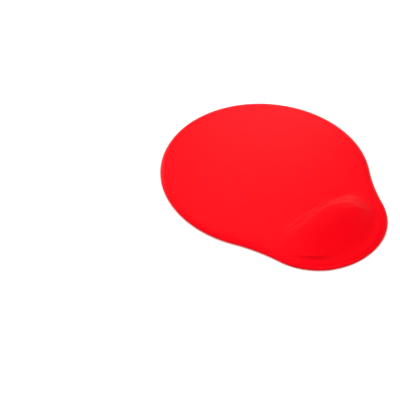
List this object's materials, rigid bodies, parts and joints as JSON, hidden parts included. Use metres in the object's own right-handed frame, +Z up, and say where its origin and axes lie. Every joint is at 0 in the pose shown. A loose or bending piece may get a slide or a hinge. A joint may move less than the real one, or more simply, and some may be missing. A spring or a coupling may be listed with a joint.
{
  "type": "mouse pad with wrist rest",
  "caption": "Flat mouse pad with a round mousing surface, a soft neck and a rounded lobe that carries a D-shaped padded wrist cushion, on a non-slip base.",
  "frame": {"origin": "centre of the outline's box on the underside, where the pad rests", "axes": "+Z up out of the mousing surface, +Y from the wrist cushion towards the far edge, +X to the user's right"},
  "size_m": [0.2098, 0.2472, 0.017],
  "materials": {
    "cover_knit": "fine stretch knit, matt with a soft sheen at grazing angles",
    "foam": "closed-cell foam, matt, cut edge",
    "pouch_film": "smooth clear film",
    "gel": "soft clear gel, glossy",
    "base_rubber": "matt non-slip sheet with a fine raised pattern"
  },
  "bodies": {
    "root": {"fabric_cover": "cover_knit", "foam_sheet": "foam", "gel_pouch_film": "pouch_film", "gel_fill": "gel", "gel_backing_film": "pouch_film", "base_sheet": "base_rubber"}
  },
  "joints": []
}
